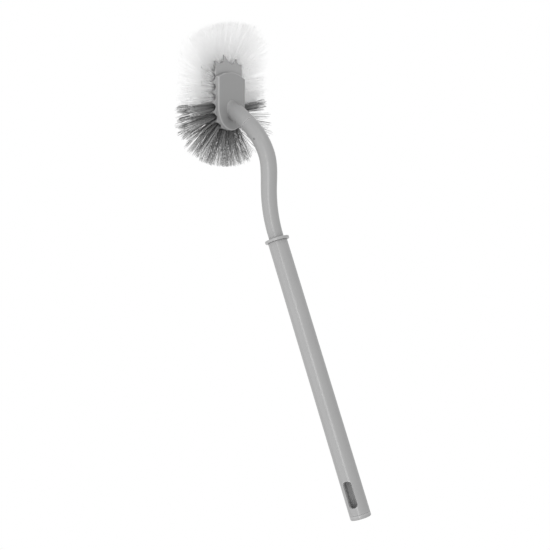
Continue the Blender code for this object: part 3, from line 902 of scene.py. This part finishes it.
def makeBlock():
    top = -headPlan["coverThick"] - blockPlan["gap"]
    bm = bmesh.new()
    side = stationPlan["blockSide"]
    low = longRound(bm, side, stationPlan["blockArch"], top - blockPlan["thick"],
                    blockPlan["archSteps"])
    thicken(bm, low, blockPlan["thick"])
    corners = [edge for edge in bm.edges if edgeRise(edge) > blockPlan["thick"] / 2
               and abs(edge.verts[0].co.y - side) < mergeDistance]
    roundEdges(bm, corners, blockPlan["corner"], blockPlan["cornerSteps"])
    rims = [edge for edge in bm.edges if edgeRise(edge) < mergeDistance
            and edge.calc_face_angle(0) > blockPlan["rimTurn"]]
    roundEdges(bm, rims, blockPlan["edge"], blockPlan["edgeSteps"])
    frameFlats(bm)
    piece = finishPiece("tuftBlock", bm, "head", ["tuft_block"], blockPlastic)
    carve(piece, holeCutter(), "tuftHoles")
    bm = bmesh.new()
    bm.from_mesh(piece.data)
    addCrown(bm, top)
    bm.transform(headPlace)
    bm.to_mesh(piece.data)
    bm.free()
    return dressPiece(piece, "head", ["tuft_block"], blockPlastic)


makeBlock()
print("tuft block made")

# bristles: a bunch of fine filaments at each station, cut to one outline. Angles are in degrees. A
# bunch spreads to each side by its flare and by fill times half the turn to the next bunch
bristlePlan = {
    "white": {"count": 84, "thick": 0.00017, "tip": 0.65, "fill": 1.10, "flare": 9.5,
              "bend": 0.0005, "wander": 0.8, "trim": (0.90, 1.0), "bunches": 7, "gather": 0.22},
    "dark": {"count": 90, "thick": 0.00026, "tip": 0.70, "fill": 0.68, "flare": 4.4,
             "bend": 0.0003, "wander": 0.40, "trim": (0.955, 1.0), "bunches": 11, "gather": 0.62},
    "rootRadius": 0.0026, "rootDeep": 0.0034, "frontFlare": 3.6, "steps": 6, "sides": 4,
    "tones": (0.15, 0.85), "toneJitter": 0.15, "spiral": 2.39996, "spiralJitter": 0.3,
    # how single bunches stand off the even fan: turn about Z, width, share of filaments, lean out
    "unruly": {-10: {"turn": -3.0, "wide": 0.62}, -9: {"turn": 3.0, "wide": 0.66},
               -6: {"turn": 3.0}, -5: {"turn": 5.0}, -4: {"turn": 8.5, "share": 1.25},
               -3: {"share": 1.35}, -2: {"share": 1.15}, 2: {"turn": -3.0},
               3: {"turn": 6.0, "share": 0.60, "lean": 12.0, "wide": 2.0},
               4: {"turn": 11.5, "wide": 0.50}, 5: {"turn": 8.0}, 6: {"turn": 5.0},
               9: {"wide": 0.70}, 10: {"wide": 0.66}, 11: {"wide": 0.66}},
    # the fan leans back at the tip and forward at the round end, some at the foot, more as a bend
    "leanTip": 9.0, "leanRound": 8.0, "leanFoot": 0.4, "leanBend": 0.6,
    # the trimmed outline: how far it lies from its middle, every 20 degrees from the -X side,
    # for the back row and the front row; spare is how far past the frame's depth a tip may stand
    "middle": 0.010, "halfWidths": (0.0504, 0.0518), "spare": 0.022, "longest": 0.12,
    "halvings": 18,
    "reach": (
        (0.0530, 0.0580, 0.0608, 0.0584, 0.0570, 0.0578, 0.0630, 0.0630, 0.0560,
         0.0525, 0.0560, 0.0670, 0.0675, 0.0602, 0.0579, 0.0597, 0.0652, 0.0560),
        (0.0520, 0.0560, 0.0566, 0.0560, 0.0560, 0.0580, 0.0640, 0.0630, 0.0565,
         0.0525, 0.0560, 0.0665, 0.0690, 0.0610, 0.0573, 0.0578, 0.0606, 0.0560)),
}


def insideTrim(point, row):
    rise = point.y - bristlePlan["middle"]
    reach = bristlePlan["reach"][row]
    turn = (math.degrees(math.atan2(rise, point.x)) + 180) / (360 / len(reach))
    here = int(turn) % len(reach)
    part = turn - int(turn)
    edge = reach[here] * (1 - part) + reach[(here + 1) % len(reach)] * part
    left, right = bristlePlan["halfWidths"]
    return -left < point.x < right and math.hypot(point.x, rise) < edge


def filamentLength(start, way, row):
    short, long = 0.0, bristlePlan["longest"]
    for _ in range(bristlePlan["halvings"]):
        middle = (short + long) / 2
        if insideTrim(start + middle * way, row):
            short = middle
        else:
            long = middle
    return short


# how far a tip stands past the depth that the frame leaves for the fan, along the head's Z
def pastFrame(tip):
    low, high = cadBox[0][1], cadBox[1][1]
    spare = bristlePlan["spare"] * (high - low)
    depth = (headPlace @ tip).y
    past = max(0, depth - high - spare) + min(0, depth - low + spare)
    return past / headPlace[1][2]


def halfTurns(number):
    order = stationNumbers.index(number)
    here = station(number)[1]
    beside = [stationNumbers[order - 1], stationNumbers[(order + 1) % len(stationNumbers)]]
    return [math.degrees(here.angle(station(other)[1])) / 2 for other in beside]


# even spread over a disc, the way seeds sit in a sunflower
def discSpread(count, chance):
    spots = []
    jitter = bristlePlan["spiralJitter"]
    for number in range(count):
        reach = math.sqrt((number + 0.5) / count)
        turn = number * bristlePlan["spiral"] + chance.uniform(-jitter, jitter)
        spots.append((reach * math.cos(turn), reach * math.sin(turn)))
    return spots


def sideways(axis, turn):
    return math.tan(math.radians(turn)) * axis


# root, direction, length, bend and tone of every filament of one bunch
def filamentLines(number, row, plan, chance):
    place, direction = station(number)
    odd = bristlePlan["unruly"].get(number, {})
    direction = Matrix.Rotation(math.radians(odd.get("turn", 0)), 3, "Z") @ direction
    up = Vector((0, 0, 1))
    across = up.cross(direction)
    wide = odd.get("wide", 1.0)
    lean = bristlePlan["leanTip"] if direction.y > 0 else bristlePlan["leanRound"]
    lean = lean * direction.y + odd.get("lean", 0)
    before, after = halfTurns(number)
    foot = place - bristlePlan["rootDeep"] * direction + up * rowDepth(row)
    centres = discSpread(plan["bunches"], chance)
    tones = [chance.uniform(*bristlePlan["tones"]) for _ in centres]
    jitter = bristlePlan["toneJitter"]
    lines = []
    for u, v in discSpread(round(plan["count"] * odd.get("share", 1.0)), chance):
        root = foot + bristlePlan["rootRadius"] * (u * across + v * up)
        near = min(range(len(centres)), key=lambda order: math.hypot(centres[order][0] - u,
                                                                     centres[order][1] - v))
        u += plan["gather"] * (centres[near][0] - u)
        v += plan["gather"] * (centres[near][1] - v)
        beside = after if u > 0 else before
        side = u * wide * (plan["flare"] + plan["fill"] * beside) + chance.gauss(0, plan["wander"])
        front = v * bristlePlan["frontFlare"]
        front += chance.gauss(bristlePlan["leanFoot"] * lean, plan["wander"])
        way = (direction + sideways(across, side) + sideways(up, front)).normalized()
        length = filamentLength(root, way, row) * chance.uniform(*plan["trim"])
        bend = Vector((chance.gauss(0, 1), chance.gauss(0, 1), chance.gauss(0, 1)))
        bend = (bend - bend.dot(way) * way) * plan["bend"]
        bend += sideways(up * length, bristlePlan["leanBend"] * lean)
        bend -= up * pastFrame(root + way * length + bend)
        lines.append((root, way, length, bend, tones[near] + chance.uniform(-jitter, jitter)))
    return lines


# all filaments of a bunch grow together, one ring of faces at a time
def growTuft(name, node, number, row, plan, material, chance):
    bm = bmesh.new()
    along = bm.verts.layers.float.new("along")
    tone = bm.verts.layers.float.new("tone")
    lines = filamentLines(number, row, plan, chance)
    sides, steps = bristlePlan["sides"], bristlePlan["steps"]
    tips = []
    for root, way, length, bend, shade in lines:
        place = way.to_track_quat("Z", "Y").to_matrix().to_4x4()
        place.translation = root
        made = bmesh.ops.create_circle(bm, cap_ends=True, segments=sides,
                                       radius=plan["thick"] / 2, matrix=place)["verts"]
        for vert in made:
            vert[tone] = shade
        tips.append(made[0].link_faces[0])
    centres = [line[0] for line in lines]
    size = 1.0
    for step in range(1, steps + 1):
        share = step / steps
        tips = bmesh.ops.extrude_discrete_faces(bm, faces=tips)["faces"]
        narrower = 1 - (1 - plan["tip"]) * share
        for order, (face, (root, way, length, bend, shade)) in enumerate(zip(tips, lines)):
            centre = root + way * length * share + bend * share ** 2
            for vert in face.verts:
                vert.co = centre + (vert.co - centres[order]) * narrower / size
                vert[along] = share
                vert[tone] = shade
            centres[order] = centre
        size = narrower
    bmesh.ops.holes_fill(bm, edges=[edge for edge in bm.edges if edge.is_boundary], sides=sides)
    bm.transform(headPlace)
    return finishPiece(name, bm, "head", [node], material, sharp=0)


def makeTufts():
    counts = {"dark": 0, "white": 0}
    looks = {"dark": (darkBristle, "dark_bristle"), "white": (whiteBristle, "white_bristle")}
    for number in stationNumbers:
        shade = "dark" if abs(number) <= stationPlan["darkPairs"] else "white"
        counts[shade] += 1
        material, slot = looks[shade]
        for row, side in enumerate(("Back", "Front")):
            chance = random.Random(100 * (number + 20) + row)
            name = f"{shade}Tuft{side}{counts[shade]:02d}"
            node = f"{shade}_tuft_{side.lower()}_{counts[shade]:02d}"
            growTuft(name, node, number, row, bristlePlan[shade], material, chance)


makeTufts()
print("bristles grown")

# floor, world and lights
studioPlan = {
    "floor": -1.00, "floorSize": 12.0, "world": 1.00,
    "key": {"place": (-1.03, -0.58, -0.10), "size": 1.30, "height": 1.30, "watts": 3.9},
    "fill": {"place": (-0.31, 0.83, -0.82), "size": 0.25, "height": 0.25, "watts": 0.6},
    "strip": {"place": (-0.84, 0.33, -0.10), "size": 0.12, "height": 0.90, "watts": 3.4},
    "target": (0.0, 0.0, -0.24),
    # to the camera the floor glows white: by glowNear at its middle, and further out by up to
    # glowMore besides, at glowRate a metre
    "paper": {"tone": 0.88, "roughness": 0.9, "glowNear": 0.55, "glowMore": 0.45, "glowRate": 0.9},
}


# 1 where a ray comes from the camera, a mirror or through glass, so that it sees plain white
def seenRay(tree):
    path = tree.nodes.new("ShaderNodeLightPath")
    mirror = mathNode(tree, "MAXIMUM", path.outputs["Is Camera Ray"], path.outputs["Is Glossy Ray"])
    return mathNode(tree, "MAXIMUM", mirror, path.outputs["Is Transmission Ray"])


def makeWorld():
    world = bpy.data.worlds.new("studio")
    world.use_nodes = True
    scene.world = world
    tree = world.node_tree
    sky = tree.nodes["Background"]
    sky.inputs["Color"].default_value = (1, 1, 1, 1)
    sky.inputs["Strength"].default_value = studioPlan["world"]


def makeFloor():
    paper = studioPlan["paper"]
    bm = bmesh.new()
    bmesh.ops.create_grid(bm, x_segments=1, y_segments=1, size=studioPlan["floorSize"] / 2,
                          matrix=Matrix.Translation((0, 0, studioPlan["floor"])))
    floor = addObject("studioFloor", meshFrom("studioFloor", bm))
    material, tree, shader = newMaterial("palePaper")
    shader.inputs["Base Color"].default_value = grey(paper["tone"])
    shader.inputs["Roughness"].default_value = paper["roughness"]
    shader.inputs["Specular IOR Level"].default_value = 0.0
    distance = tree.nodes.new("ShaderNodeVectorMath")
    distance.operation = "LENGTH"
    tree.links.new(objectPlace(tree), distance.inputs[0])
    far = mathNode(tree, "MULTIPLY", distance.outputs["Value"], paper["glowRate"], clamp=True)
    share = mathNode(tree, "ADD", times(tree, far, paper["glowMore"]), paper["glowNear"],
                     clamp=True)
    mix = mixShaders(tree, shader, tree.nodes.new("ShaderNodeEmission"))
    tree.links.new(times(tree, seenRay(tree), share), mix.inputs["Fac"])
    floor.data.materials.append(material)


def makeLight(name):
    plan = studioPlan[name]
    data = bpy.data.lights.new(name + "Light", "AREA")
    data.energy = plan["watts"]
    data.shape = "RECTANGLE"
    data.size = plan["size"]
    data.size_y = plan["height"]
    light = addObject(name + "Light", data)
    light.location = plan["place"]
    aim = Vector(studioPlan["target"]) - Vector(plan["place"])
    light.rotation_euler = aim.to_track_quat("-Z", "Y").to_euler()


makeWorld()
makeFloor()
for lamp in ("key", "fill", "strip"):
    makeLight(lamp)
scene.view_settings.view_transform = "Standard"
print("studio set")
